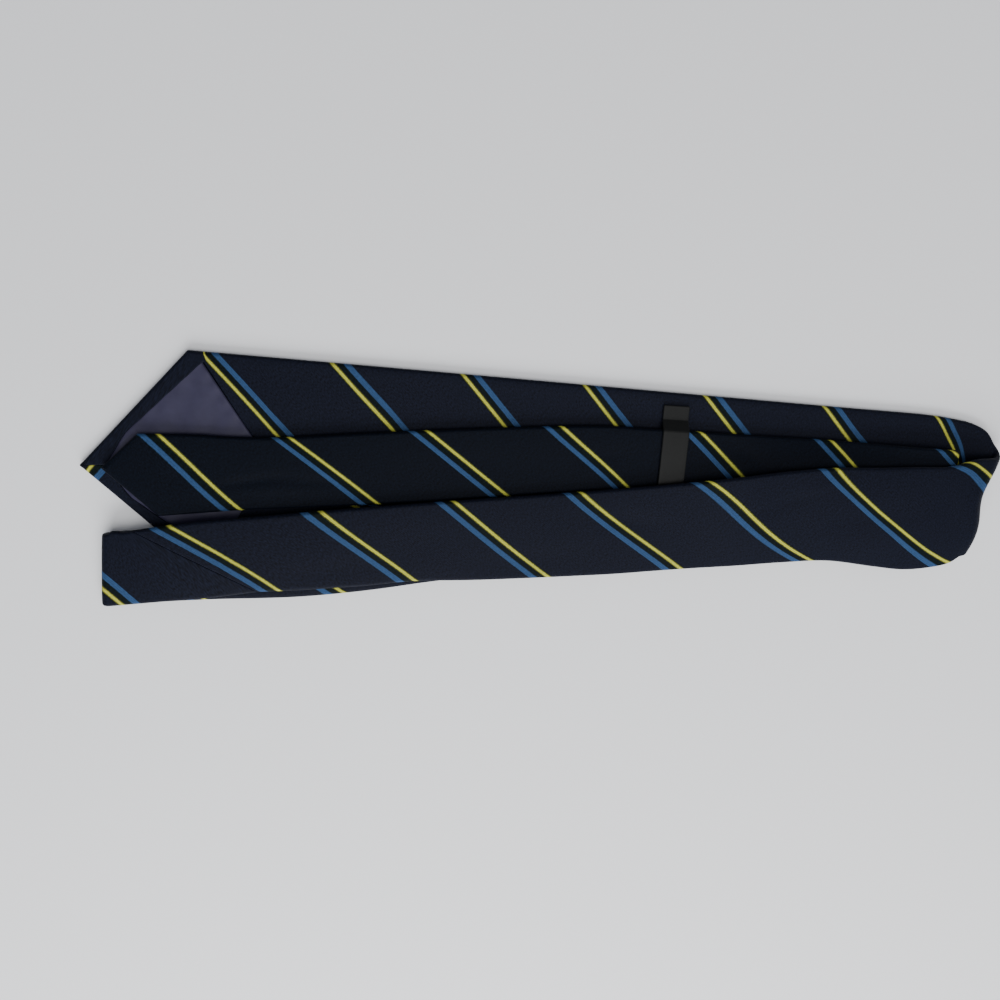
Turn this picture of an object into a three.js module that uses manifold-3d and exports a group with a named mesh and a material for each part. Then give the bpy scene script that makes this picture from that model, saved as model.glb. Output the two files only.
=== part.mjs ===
// Striped silk necktie, folded into four layers and lying flat. Millimetres, +Z up.
// The tables below measure from the wide point (x = 0) and from the lowest edge (y = 0). The finished
// group is moved so that the origin is the middle of the footprint, on the surface that the tie lies on.
import * as THREE from "three";
import { mergeVertices } from "three/addons/utils/BufferGeometryUtils.js";
import Module from "manifold-3d";

const wasm = await Module();
wasm.setup();

// Driving dimensions
const FOLDED_LENGTH = 366.2;
const FOLDED_WIDTH = 95.2;
const BLADE_THICKNESS = 2.6;
const NECK_THICKNESS = 2.4;
const GAP = 0.3;
const SEAM_DEPTH = 0.4;
const SEAM_WIDTH = 3;
const HEM = 6.5;
const TIPPING_THICKNESS = 1;
const TIPPING_STEP = 0.3;
const LOOP_WIDTH = 10.6;
const LOOP_THICKNESS = 1;

// How finely the strips are divided: steps along from one row to the next, and round a fold
const ROW_STEPS = 2;
const FOLD_STEPS = 8;
const RIM_ANGLES = [30, 60, 90];
const WELD = 1e-4;

// Heights of the strip's middle surface, layer by layer, where the layers lie flat
const BLADE_Z = BLADE_THICKNESS / 2;
const TAIL_Z = BLADE_THICKNESS + GAP + NECK_THICKNESS / 2;

// The right fold is drawn in between its two soft rolls: how far, where across the strip, and over what width
const PINCH = { depth: 5.2, across: 0.38, spread: 0.28, from: 332, to: 356 };

// Each row is a line across the strip: its two ends in plan, on the upper and the lower edge, and the
// height of the middle surface at the upper edge, halfway across and at the lower edge.
const COLUMNS = ["xUp", "yUp", "xLow", "yLow", "zUp", "zMid", "zLow"];

// Wide point, back up: from the tip to the shoulders
const WIDE_POINT = [
  [0, 55, 0, 54.2, BLADE_Z, BLADE_Z, BLADE_Z],
  [1.3, 56, 1.2, 53.2, BLADE_Z, BLADE_Z, BLADE_Z],
  [41.5, 95.2, 39.5, 13.6, BLADE_Z, BLADE_Z, BLADE_Z],
];

// Wide blade, back up, from the shoulders to the right fold
const BLADE_UNDER = [
  [41.5, 95.2, 39.5, 13.6, BLADE_Z, BLADE_Z, BLADE_Z],
  [140, 84.9, 137, 15.4, BLADE_Z, BLADE_Z, BLADE_Z],
  [240, 74.3, 236, 17.3, BLADE_Z, BLADE_Z, BLADE_Z],
  [300, 68, 296, 18.4, BLADE_Z, BLADE_Z, BLADE_Z],
  [333.5, 64.5, 329, 18.6, BLADE_Z, BLADE_Z, BLADE_Z],
  [346, 62.5, 340, 16, BLADE_Z, BLADE_Z, BLADE_Z],
  [355.4, 60.2, 346, 13, BLADE_Z, BLADE_Z, BLADE_Z],
  [361.8, 56, 349.8, 10.4, BLADE_Z, BLADE_Z, BLADE_Z],
  [365, 50, 352.2, 7.6, BLADE_Z, BLADE_Z, BLADE_Z],
];

// Wide blade, front up, from the right fold to the slanted seam. It rises over the keeper loop and
// over the tail where that lies double, and its lower edge droops at the right.
const BLADE_OVER = [
  [361.6, 46.2, 350.6, 4.6, 6.5, 9.2, 6.2],
  [353, 46.2, 345.5, 1.6, 8.2, 9.4, 6.3],
  [340, 43.9, 335, 0, 9.8, 9.6, 6.4],
  [326, 44.2, 324, 0.6, 9.8, 9.7, 6.7],
  [311, 44.4, 311, 2.6, 9.8, 9.75, 6.9],
  [290, 45.1, 290, 5.6, 10.1, 9.7, 7],
  [270, 44.4, 270, 6, 10.4, 9.3, 6.9],
  [250, 42.8, 250, 6, 10.8, 9.2, 6.7],
  [232, 41.3, 232, 5.9, 9.5, 8.2, 6.5],
  [216, 40.3, 216, 5.8, 8.5, 7.7, 6.55],
  [200, 39.4, 200, 5.8, 7.5, 7.25, 6.6],
  [185, 38.7, 185, 5.9, 7.1, 7.1, 6.65],
  [145, 37.4, 145, 5.9, 7.05, 7.1, 6.65],
  [115, 36.4, 118, 5.3, 7.15, 7.2, 6.7],
  [90, 35.4, 103, 4.9, 7.15, 7.2, 6.7],
  [64, 34.1, 89, 4.6, 7.15, 7.2, 6.7],
  [40, 33, 75, 4.4, 7.15, 7.2, 6.7],
  [17.5, 30.6, 61.2, 4.6, 6.6, 7.15, 6.6],
];

// Neck band, front up, from the slanted seam to the left fold
const NECK_OVER = [
  [16.9, 30.6, 60.6, 4.6, 6.55, 7.15, 6.6],
  [14, 30.1, 42.5, 3.4, 6.2, 6.65, 6.45],
  [11.5, 30.4, 26, 2.5, 5.8, 5.75, 5.5],
  [9.5, 30.3, 13, 1.7, 5.6, 5.2, 4.75],
  [8.2, 29.3, 4.7, 1.2, 5.5, 5, 4.5],
];

// Neck band, back up, from the left fold to the second slanted seam
const NECK_UNDER = [
  [8.2, 29.3, 4.7, 1.2, 2.8, 2.3, 1.8],
  [14, 29.8, 14, 1, 3.3, 2.7, 2.1],
  [24, 29.8, 24, 1.4, 4.15, 3.5, 2.7],
  [41, 29.8, 41, 1.6, 4.15, 4.2, 3.5],
  [75, 29.6, 75, 0.8, 4.15, 4.2, 3.6],
  [98, 30.5, 102, 2, 4.15, 4.2, 3.6],
  [116, 31.8, 126, 4.2, 4.15, 4.15, 3.7],
  [134, 33, 154, 6, 4.15, 4.15, 3.7],
  [150.5, 33.3, 186.5, 6.5, 4.15, 4.15, 3.8],
];

// Tail, back up, from the second seam to the inner right fold
const TAIL_UNDER = [
  [151.1, 33.3, 187.1, 6.5, 4.15, 4.15, 3.8],
  [170, 33.4, 194, 6.5, 4.15, 4.15, 3.8],
  [190, 33.3, 203, 6.4, 4.15, 4.15, 3.8],
  [212, 32.6, 216, 6.3, 4.15, 4.15, 3.8],
  [232, 32.1, 232, 6.3, 4.15, 4.15, 3.8],
  [250, 32, 250, 6.3, 4.15, 4.15, 3.8],
  [270, 34, 270, 8.2, 4.15, 4.15, 3.8],
  [290, 39, 290, 12.6, 4.15, 4.15, 4],
  [313, 44.5, 313, 17.8, 4.15, 4.15, 4.15],
  [335, 48.8, 333, 22, 4.15, 4.15, 4.15],
  [344, 50, 341, 23.2, TAIL_Z, TAIL_Z, TAIL_Z],
];

// Tail, front up, from the inner right fold to the shoulders of its point: it lies on its own back-up
// layer at the right, comes down off it, and goes through the keeper loop
const TAIL_OVER = [
  [344, 50, 341, 23.2, 6.8, 6.8, 6.8],
  [330, 51.4, 328, 24.4, 6.6, 6.85, 6.85],
  [313, 53.2, 313, 26.3, 5.5, 6.85, 6.9],
  [289, 55.7, 289, 28.8, 4.4, 6.5, 6.95],
  [270, 57.4, 270, 30.5, 4.15, 5.85, 7.05],
  [256, 58.6, 256, 31.8, TAIL_Z, 5.1, 6.95],
  [246, 59.5, 246, 32.9, TAIL_Z, 4.4, 6],
  [236, 60.5, 236, 33.9, TAIL_Z, 4.15, 4.7],
  [229.6, 61, 229, 34.6, TAIL_Z, TAIL_Z, TAIL_Z],
  [212, 62.6, 211, 36.4, TAIL_Z, TAIL_Z, TAIL_Z],
  [195, 64, 193, 38, TAIL_Z, TAIL_Z, TAIL_Z],
  [170, 64.4, 169, 37.6, TAIL_Z, TAIL_Z, TAIL_Z],
  [130, 64.2, 130, 36.5, TAIL_Z, TAIL_Z, TAIL_Z],
  [100, 63.7, 100, 36.1, TAIL_Z, TAIL_Z, TAIL_Z],
  [69, 63.1, 69, 36, TAIL_Z, TAIL_Z, TAIL_Z],
  [54.5, 63.8, 54.5, 36, TAIL_Z, TAIL_Z, TAIL_Z],
  [41, 65, 41, 35.7, TAIL_Z, TAIL_Z, TAIL_Z],
  [21.6, 65.7, 26.4, 35.1, TAIL_Z, TAIL_Z, TAIL_Z],
];

// Narrow point
const NARROW_POINT = [
  [21.6, 65.7, 26.4, 35.1, TAIL_Z, TAIL_Z, TAIL_Z],
  [9.4, 53.9, 9.6, 53.1, TAIL_Z, TAIL_Z, TAIL_Z],
];

// Hollow of the wide point that shows its lining: inside the hem, and out to the slanted edges of the flaps
const TIPPING_CORNERS = [
  { x: HEM * Math.SQRT2, y: 54.6 },
  { x: 46.5, y: 91.5 },
  { x: 67, y: 54.2 },
  { x: 46.5, y: 17.6 },
];

// Keeper loop: where it crosses the tail, the tail's two edges there, and how far its foot runs on
const LOOP = { x: 222.9, y: 48.4, turn: -4.9, tailUp: 61.8, tailLow: 35.15, footStart: 65, footEnd: 71 };

// Finishes
const navySilk = () => new THREE.MeshStandardMaterial({ color: 0x181c2a, roughness: 0.5, metalness: 0 });
const lining = () => new THREE.MeshStandardMaterial({ color: 0x34324a, roughness: 0.4, metalness: 0 });
const blackSatin = () => new THREE.MeshStandardMaterial({ color: 0x232424, roughness: 0.35, metalness: 0 });

// A strip's middle surface is a list of stations; each gives the point at a share v of the way from
// the upper edge (0) to the lower edge (1).
const named = (row) => Object.fromEntries(COLUMNS.map((name, i) => [name, row[i]]));

function heightAcross(zUp, zMid, zLow, v) {
  const bend = 2 * (zUp + zLow) - 4 * zMid;
  return zUp + (zLow - zUp - bend) * v + bend * v * v;
}

function leg(rows, stepsPerRow = ROW_STEPS) {
  const points = rows.map(named);
  const edge = (x, y, z) => {
    const knots = points.map((row) => new THREE.Vector3(x(row), y(row), z(row)));
    return new THREE.CatmullRomCurve3(knots, false, "centripetal");
  };
  const up = edge((r) => r.xUp, (r) => r.yUp, (r) => r.zUp);
  const low = edge((r) => r.xLow, (r) => r.yLow, (r) => r.zLow);
  const mid = edge((r) => (r.xUp + r.xLow) / 2, (r) => (r.yUp + r.yLow) / 2, (r) => r.zMid);
  const steps = stepsPerRow * (rows.length - 1);
  return Array.from({ length: steps + 1 }, (_, i) => {
    const a = up.getPoint(i / steps);
    const b = low.getPoint(i / steps);
    const z = mid.getPoint(i / steps).z;
    return (v) => new THREE.Vector3(a.x + (b.x - a.x) * v, a.y + (b.y - a.y) * v, heightAcross(a.z, z, b.z, v));
  });
}

const pointAcross = (row, v) =>
  new THREE.Vector3(
    row.xUp + (row.xLow - row.xUp) * v,
    row.yUp + (row.yLow - row.yUp) * v,
    heightAcross(row.zUp, row.zMid, row.zLow, v),
  );

// A fold turns half a circle from one row to another that lies over or under it.
function fold(rowIn, rowOut, outward) {
  const first = named(rowIn);
  const last = named(rowOut);
  const line = new THREE.Vector2(first.xLow - first.xUp, first.yLow - first.yUp).normalize();
  const out = new THREE.Vector3(-line.y, line.x, 0).multiplyScalar(outward);
  return Array.from({ length: FOLD_STEPS - 1 }, (_, i) => {
    const angle = (Math.PI * (i + 1)) / FOLD_STEPS;
    return (v) => {
      const from = pointAcross(first, v);
      const to = pointAcross(last, v);
      const reach = (Math.abs(to.z - from.z) / 2) * Math.sin(angle);
      return from.lerp(to, (1 - Math.cos(angle)) / 2).addScaledVector(out, reach);
    };
  });
}

function pinched(station) {
  return (v) => {
    const point = station(v);
    const near = THREE.MathUtils.smoothstep(point.x, PINCH.from, PINCH.to);
    const share = Math.exp(-(((v - PINCH.across) / PINCH.spread) ** 2));
    point.x -= PINCH.depth * near * share;
    return point;
  };
}

// Section of the strip: round edges, flat front, and a back with the shallow valley of its long seam.
// v is the share of the width from the upper edge, and h the distance from the middle surface. At the
// very point the two round edges take nearly the whole width.
function section(width, thickness) {
  const widestRim = 0.49;
  const widestValley = 0.2;
  const radius = Math.min(thickness / 2, width * widestRim);
  const edge = RIM_ANGLES.map(THREE.MathUtils.degToRad).map((angle) => ({
    v: (radius * (1 - Math.cos(angle))) / width,
    h: radius * Math.sin(angle),
  }));
  const rim = radius / width;
  const valley = Math.min(SEAM_WIDTH / width, widestValley);
  const middle = 0.5;
  const inside = [0.2, middle - valley / 2, middle, middle + valley / 2, 0.8];
  const front = inside.map((share) => ({ v: rim + (1 - 2 * rim) * share, h: radius }));
  const back = front.map(({ v, h }, i) => ({ v, h: inside[i] === middle ? h - SEAM_DEPTH : h }));
  const whole = (face) => [...edge, ...face, ...edge.map(({ v, h }) => ({ v: 1 - v, h })).reverse()];
  const faceDown = whole(front).map(({ v, h }) => ({ v, h: -h }));
  return [{ v: 0, h: 0 }, ...faceDown, { v: 1, h: 0 }, ...whole(back).reverse()];
}

// Wraps the section round a strip's middle surface and closes both ends.
function strip(stations, thickness) {
  const positions = [];
  const rings = stations.map((station, i) => {
    const before = stations[Math.max(i - 1, 0)];
    const after = stations[Math.min(i + 1, stations.length - 1)];
    const across = station(1).sub(station(0));
    const ring = section(across.length(), thickness);
    for (const { v, h } of ring) {
      const along = after(v).sub(before(v));
      const normal = new THREE.Vector3().crossVectors(across, along).normalize();
      positions.push(station(v).addScaledVector(normal, h));
    }
    return ring.length;
  });
  const count = rings[0];
  const triangles = [];
  for (let i = 0; i < stations.length - 1; i++) {
    for (let j = 0; j < count; j++) {
      const next = (j + 1) % count;
      const a = i * count + j;
      const b = i * count + next;
      triangles.push([a, b, a + count], [b, b + count, a + count]);
    }
  }
  const cap = (start, turned) => {
    const middle = positions.length;
    const centre = new THREE.Vector3();
    for (let j = 0; j < count; j++) centre.addScaledVector(positions[start + j], 1 / count);
    positions.push(centre);
    for (let j = 0; j < count; j++) {
      const next = start + ((j + 1) % count);
      triangles.push(turned ? [middle, start + j, next] : [middle, next, start + j]);
    }
  };
  cap(0, false);
  cap((stations.length - 1) * count, true);
  const geometry = new THREE.BufferGeometry().setFromPoints(positions);
  const outward = signedVolume(positions, triangles) > 0;
  geometry.setIndex(triangles.flatMap(([a, b, c]) => (outward ? [a, b, c] : [a, c, b])));
  return geometry;
}

function signedVolume(positions, triangles) {
  return triangles.reduce(
    (sum, [a, b, c]) => sum + positions[a].dot(positions[b].clone().cross(positions[c])) / 6, 0);
}

// Cuts and reading back
function solid(geometry) {
  const bare = geometry.clone();
  bare.deleteAttribute("normal");
  bare.deleteAttribute("uv");
  const merged = mergeVertices(bare, WELD);
  return new wasm.Manifold(new wasm.Mesh({
    numProp: 3,
    vertProperties: new Float32Array(merged.attributes.position.array),
    triVerts: new Uint32Array(merged.index.array),
  }));
}

function geometryOf(body) {
  const mesh = body.getMesh();
  const geometry = new THREE.BufferGeometry();
  geometry.setAttribute("position", new THREE.BufferAttribute(new Float32Array(mesh.vertProperties), 3));
  geometry.setIndex(new THREE.BufferAttribute(new Uint32Array(mesh.triVerts), 1));
  return geometry;
}

function panel(corners, bottom, top) {
  const outline = new THREE.Shape(corners.map(({ x, y }) => new THREE.Vector2(x, y)));
  const geometry = new THREE.ExtrudeGeometry(outline, { depth: top - bottom, bevelEnabled: false });
  return geometry.translate(0, 0, bottom);
}

// Corners of the lining's hollow drawn in by the gap, side by side
function drawnIn(corners, distance) {
  return corners.map((corner, i) => {
    const before = corners[(i + corners.length - 1) % corners.length];
    const after = corners[(i + 1) % corners.length];
    const inward = (from, to) => new THREE.Vector2(to.y - from.y, from.x - to.x).normalize();
    const first = inward(before, corner);
    const second = inward(corner, after);
    const scale = distance / (1 + first.dot(second));
    return { x: corner.x + (first.x + second.x) * scale, y: corner.y + (first.y + second.y) * scale };
  });
}

// Wide blade: point, under layer, outer right fold and over layer, with the lining's hollow cut in its back
function wideBlade() {
  const stations = [
    ...leg(WIDE_POINT, 1).slice(0, -1),
    ...leg(BLADE_UNDER),
    ...fold(BLADE_UNDER.at(-1), BLADE_OVER[0], 1),
    ...leg(BLADE_OVER),
  ].map(pinched);
  const hollowFloor = BLADE_THICKNESS - TIPPING_STEP - TIPPING_THICKNESS - GAP;
  const hollow = panel(TIPPING_CORNERS, hollowFloor, BLADE_THICKNESS + GAP / 2);
  return geometryOf(solid(strip(stations, BLADE_THICKNESS)).subtract(solid(hollow)));
}

// Lining panel, let into the hollow a little below the hem
function wideTipping() {
  const top = BLADE_THICKNESS - TIPPING_STEP;
  return panel(drawnIn(TIPPING_CORNERS, GAP), top - TIPPING_THICKNESS, top);
}

// Neck band: from the slanted seam round the left fold and back
function neckBand() {
  const stations = [
    ...leg(NECK_OVER),
    ...fold(NECK_OVER.at(-1), NECK_UNDER[0], -1),
    ...leg(NECK_UNDER),
  ];
  return strip(stations, NECK_THICKNESS);
}

// Narrow blade: from the second seam round the inner right fold and on to its point
function narrowBlade() {
  const stations = [
    ...leg(TAIL_UNDER),
    ...fold(TAIL_UNDER.at(-1), TAIL_OVER[0], 1),
    ...leg(TAIL_OVER),
    ...leg(NARROW_POINT).slice(1),
  ];
  return strip(stations, NECK_THICKNESS);
}

// Keeper loop: a strap over the tail, down its lower edge, and down its upper edge to a sewn foot
function keeperLoop() {
  const seat = BLADE_THICKNESS + GAP;
  const inner = NECK_THICKNESS / 2 + GAP;
  const outer = inner + LOOP_THICKNESS;
  const high = LOOP.tailUp - NECK_THICKNESS / 2 - LOOP.y;
  const low = LOOP.tailLow + NECK_THICKNESS / 2 - LOOP.y;
  const start = LOOP.footStart - LOOP.y;
  const end = LOOP.footEnd - LOOP.y;
  const quarter = Math.PI / 2;
  const slope = quarter / 2;
  const curveSegments = 6;
  const strap = new THREE.Shape();
  strap.moveTo(end, seat);
  strap.lineTo(start, seat);
  strap.absarc(high, TAIL_Z, inner, slope, quarter, false);
  strap.absarc(low, TAIL_Z, inner, quarter, 2 * quarter, false);
  strap.lineTo(low - inner, seat);
  strap.lineTo(low - outer, seat);
  strap.absarc(low, TAIL_Z, outer, 2 * quarter, quarter, true);
  strap.absarc(high, TAIL_Z, outer, quarter, slope, true);
  strap.lineTo(start + LOOP_THICKNESS / 2, seat + LOOP_THICKNESS);
  strap.lineTo(end, seat + LOOP_THICKNESS);
  const geometry = new THREE.ExtrudeGeometry(strap, { depth: LOOP_WIDTH, bevelEnabled: false, curveSegments });
  const acrossTheTail = new THREE.Matrix4().makeBasis(
    new THREE.Vector3(0, 1, 0), new THREE.Vector3(0, 0, 1), new THREE.Vector3(1, 0, 0));
  return geometry.translate(0, 0, -LOOP_WIDTH / 2).applyMatrix4(acrossTheTail);
}

const necktie = new THREE.Group();

function add(name, geometry, material) {
  const mesh = new THREE.Mesh(geometry, material);
  mesh.name = name;
  necktie.add(mesh);
  return mesh;
}

add("wide_blade", wideBlade(), navySilk());
add("wide_tipping", wideTipping(), lining());
add("neck_band", neckBand(), navySilk());
add("narrow_blade", narrowBlade(), navySilk());
const loop = add("keeper_loop", keeperLoop(), blackSatin());
loop.position.set(LOOP.x, LOOP.y, 0);
loop.rotation.z = THREE.MathUtils.degToRad(LOOP.turn);

necktie.position.set(-FOLDED_LENGTH / 2, -FOLDED_WIDTH / 2, 0);

export default necktie;
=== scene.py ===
import math
import bmesh
import bpy
import numpy as np
from mathutils import Matrix, Vector


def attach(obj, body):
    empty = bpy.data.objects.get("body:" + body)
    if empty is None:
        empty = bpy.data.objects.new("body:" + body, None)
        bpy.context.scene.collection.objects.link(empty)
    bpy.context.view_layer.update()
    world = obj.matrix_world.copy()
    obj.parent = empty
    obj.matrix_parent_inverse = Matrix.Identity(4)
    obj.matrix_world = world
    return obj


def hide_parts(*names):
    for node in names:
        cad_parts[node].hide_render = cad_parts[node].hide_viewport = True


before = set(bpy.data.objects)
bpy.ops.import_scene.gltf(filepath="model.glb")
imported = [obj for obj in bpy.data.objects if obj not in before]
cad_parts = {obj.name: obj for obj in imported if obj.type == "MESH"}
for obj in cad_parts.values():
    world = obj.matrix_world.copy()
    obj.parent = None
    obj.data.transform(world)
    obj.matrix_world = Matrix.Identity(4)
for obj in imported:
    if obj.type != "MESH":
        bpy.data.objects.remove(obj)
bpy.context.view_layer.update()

# Wide blade: a soft blade of striped silk twill round a wool interlining. It starts at the wide point
# with its back up, turns over at the right end, and runs back with its front up to a slanted seam.
# Its two flaps meet in the middle of the back, and a mitred hem is turned in round the point.
MM = 0.001
FOLDED_LENGTH = 366.2
FOLDED_WIDTH = 95.2
CORNER = np.array([FOLDED_LENGTH / 2, FOLDED_WIDTH / 2, 0.0])
BLADE_THICKNESS = 2.6
BLADE_Z = BLADE_THICKNESS / 2
STRIPE_PITCH = 32.0
SHARES = np.linspace(0.0, 1.0, 61)


def spline(knots, count):
    """Centripetal Catmull-Rom curve through the knots, at count + 1 even steps of its parameter."""
    knots = np.asarray(knots, float)
    last = len(knots) - 1
    place = np.linspace(0, last, count + 1)
    i = np.minimum(place.astype(int), last - 1)
    w = (place - i)[:, None]
    padded = np.vstack([2 * knots[0] - knots[1], knots, 2 * knots[-1] - knots[-2]])
    p0, p1, p2, p3 = (padded[i + j] for j in range(4))
    d0, d1, d2 = (np.sqrt(np.linalg.norm(b - a, axis=1, keepdims=True))
                  for a, b in ((p0, p1), (p1, p2), (p2, p3)))
    t1 = ((p1 - p0) / d0 - (p2 - p0) / (d0 + d1) + (p2 - p1) / d1) * d1
    t2 = ((p2 - p1) / d1 - (p3 - p1) / (d1 + d2) + (p3 - p2) / d2) * d1
    return p1 + t1 * w + (3 * (p2 - p1) - 2 * t1 - t2) * w**2 + (2 * (p1 - p2) + t1 + t2) * w**3


def across(up, low, z_mid):
    """Surface between two edges, bent to the height that it has halfway across."""
    v = SHARES[None, :]
    flat = up[:, None, :] + (low - up)[:, None, :] * SHARES[None, :, None]
    bend = 2 * (up[:, 2] + low[:, 2]) - 4 * z_mid
    flat[:, :, 2] = up[:, 2:3] + (low[:, 2] - up[:, 2] - bend)[:, None] * v + bend[:, None] * v**2
    return flat


def leg(rows, steps=30):
    rows = np.asarray(rows, float)
    count = steps * (len(rows) - 1)
    up = spline(rows[:, [0, 1, 4]], count)
    low = spline(rows[:, [2, 3, 6]], count)
    middle = np.column_stack([(rows[:, 0] + rows[:, 2]) / 2, (rows[:, 1] + rows[:, 3]) / 2, rows[:, 5]])
    return across(up, low, spline(middle, count)[:, 2])


def straight_leg(rows, steps=30):
    rows = np.asarray(rows, float)
    place = np.linspace(0, len(rows) - 1, steps * (len(rows) - 1) + 1)
    full = np.column_stack([np.interp(place, np.arange(len(rows)), rows[:, c]) for c in range(7)])
    return across(full[:, [0, 1, 4]], full[:, [2, 3, 6]], full[:, 5])


def fold(last_line, first_line, outward, steps=40):
    """Half turn from one line across the strip to the line that lies over or under it."""
    line = (last_line[-1] - last_line[0])[:2]
    line = line / np.linalg.norm(line)
    out = np.array([-line[1], line[0], 0.0]) * outward
    angles = np.pi * np.arange(1, steps) / steps
    reach = np.abs(first_line[:, 2] - last_line[:, 2]) / 2
    turned = (1 - np.cos(angles))[:, None, None] / 2
    return (last_line + (first_line - last_line) * turned
            + out * (reach[None, :, None] * np.sin(angles)[:, None, None]))


def soft_step(x, low, high):
    t = np.clip((x - low) / (high - low), 0, 1)
    return t * t * (3 - 2 * t)


def travelled(lines):
    """Length along the strip at each line across it, taken as the mean over its width."""
    steps = np.linalg.norm(np.diff(lines, axis=0), axis=2).mean(axis=1)
    return np.concatenate([[0.0], np.cumsum(steps)])


# how far from a fold's corner the cloth is eased, fully and at all
EASED_FULLY, EASED_REACH = 3.6, 9.0


def relaxed(points, corners, soft):
    """Eases the corners where a leg runs into a fold, as padded cloth does. Corners are row numbers."""
    travel = travelled(points)
    spread = np.gradient(travel)
    distances = np.min(np.abs(travel[:, None] - travel[corners][None, :]), axis=1)
    eased = points.copy()
    for i in np.flatnonzero(distances < EASED_REACH):
        width = soft * (1 - soft_step(distances[i], EASED_FULLY, EASED_REACH)) + 1e-3
        weight = np.exp(-((travel - travel[i]) / width) ** 2) * spread
        eased[i] = (points * weight[:, None, None]).sum(axis=0) / weight.sum()
    return eased


# spacing of the lines across a blade: at its cut ends and corners, near them, and elsewhere
END_SPACING, NEAR_SPACING, FAR_SPACING = 0.25, 0.8, 1.7
END_LENGTH, NEAR_LENGTH = 0.75, 9
SHORTEST_STEP = 0.3


class Strip:
    """Middle surface of a blade, one leg after another, with the length along each edge."""

    def __init__(self, legs, spacing, eased, soft=1.5):
        ends = np.cumsum([len(part) for part in legs]) - 1
        dense = relaxed(np.concatenate(legs), ends[list(eased)], soft)
        travel = travelled(dense)
        self.joints = travel[ends]
        places = [0.0]
        while places[-1] < travel[-1] - SHORTEST_STEP:
            places.append(places[-1] + spacing(places[-1], self.joints))
        self.place = np.append(places[:-1], travel[-1])
        flat = dense.reshape(len(dense), -1)
        self.points = np.column_stack(
            [np.interp(self.place, travel, column) for column in flat.T]).reshape(-1, len(SHARES), 3)
        self.s_up = self.edge_length(0)
        self.s_low = self.edge_length(-1)

    def edge_length(self, column):
        steps = np.linalg.norm(np.diff(self.points[:, column], axis=0), axis=1)
        return np.concatenate([[0.0], np.cumsum(steps)])

    def on_leg(self, number, x, share):
        """Length along the strip, at a share of its width, where the leg passes x."""
        begin = self.joints[number - 1] if number else -1.0
        inside = (self.place > begin - 0.01) & (self.place <= self.joints[number] + 0.01)
        xs = self.points[inside, round(share * (len(SHARES) - 1)), 0]
        lengths = (self.s_up * (1 - share) + self.s_low * share)[inside]
        order = np.argsort(xs)
        xs, lengths = xs[order], lengths[order]
        slope_start = (lengths[4] - lengths[0]) / (xs[4] - xs[0])
        slope_end = (lengths[-1] - lengths[-5]) / (xs[-1] - xs[-5])
        x = np.asarray(x, float)
        inner = np.interp(x, xs, lengths)
        inner = np.where(x < xs[0], lengths[0] + (x - xs[0]) * slope_start, inner)
        return np.where(x > xs[-1], lengths[-1] + (x - xs[-1]) * slope_end, inner)


def even_spacing(place, joints):
    """Steps along a blade: finer at its point or seam and in the folds."""
    near = min(abs(place - joint) for joint in list(joints) + [0.0])
    if near < END_LENGTH:
        return END_SPACING
    return NEAR_SPACING if near < NEAR_LENGTH else FAR_SPACING


RIM_STEPS = 7
FRONT_SHARES = np.linspace(0, 1, 46)[1:-1]
FLAP_SHARES = np.linspace(0, 1, 22)[1:-1]
FLOOR_SHARES = np.linspace(0, 1, 8)[1:-1]
CROWN_HEIGHT = 0.12
# the flaps' turned edges at the seam: how far they round off and sink, and the lap's own reach
TURNED_ROUND = np.array([0.0, 0.10, 0.32])
TURNED_SINK = np.array([0.0, 0.05, 0.25])
SEAM_WALL = 0.4
LAP_REACH = 2.5


def ring(width, slant_up, slant_low, thickness, v_low, v_up, depth, lap):
    """Section of a blade: share across and height over the middle surface, round the whole strip.
    It runs over the front from the upper edge to the lower one, and back over the two flaps."""
    r_up = min(thickness / 2, 0.45 * width)
    angle = np.linspace(0, np.pi / 2, RIM_STEPS + 1)
    rim_up = r_up * (1 - np.cos(angle)) / (width * slant_up)
    rim_low = r_up * (1 - np.cos(angle)) / (width * slant_low)
    rim_h = r_up * np.sin(angle)
    a, b = rim_up[-1], 1 - rim_low[-1]
    crown = CROWN_HEIGHT * (1 - (2 * FRONT_SHARES - 1) ** 4)
    v = [rim_up, a + (b - a) * FRONT_SHARES, (1 - rim_low)[::-1]]
    h = [-rim_h, -r_up - crown, -rim_h[::-1]]
    turn = TURNED_ROUND / width
    wall = SEAM_WALL / width
    under = (SEAM_WALL + 0.05) / width
    floor = r_up - depth
    flap_low = b + (v_low - b) * FLAP_SHARES
    v += [(1 - rim_low)[1:], flap_low, v_low - turn, [v_low - wall],
          v_low - under + (v_up - v_low + 2 * under) * FLOOR_SHARES,
          [v_up + wall], (v_up + turn)[::-1]]
    near = np.exp(-((FLAP_SHARES[::-1] * abs(v_up - a) * width) / LAP_REACH) ** 2)
    h += [rim_h[1:], np.full(len(flap_low), r_up), r_up - TURNED_SINK, [floor],
          np.full(len(FLOOR_SHARES), floor), [floor], (r_up + lap - TURNED_SINK)[::-1]]
    v += [v_up + (a - v_up) * FLAP_SHARES, rim_up[::-1]]
    h += [r_up + lap * near, rim_h[::-1]]
    return np.concatenate(v), np.concatenate(h)


FRONT_END = (RIM_STEPS + 1) * 2 + len(FRONT_SHARES) - 1
SPLIT = FRONT_END + 1 + RIM_STEPS + len(FLAP_SHARES) + 4 + len(FLOOR_SHARES) // 2
# share of the thickness that is left at a rounded cut end, and the lean of the twill's ribs in degrees
END_THINNED = 0.88
RIB_LEAN = 40


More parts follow.
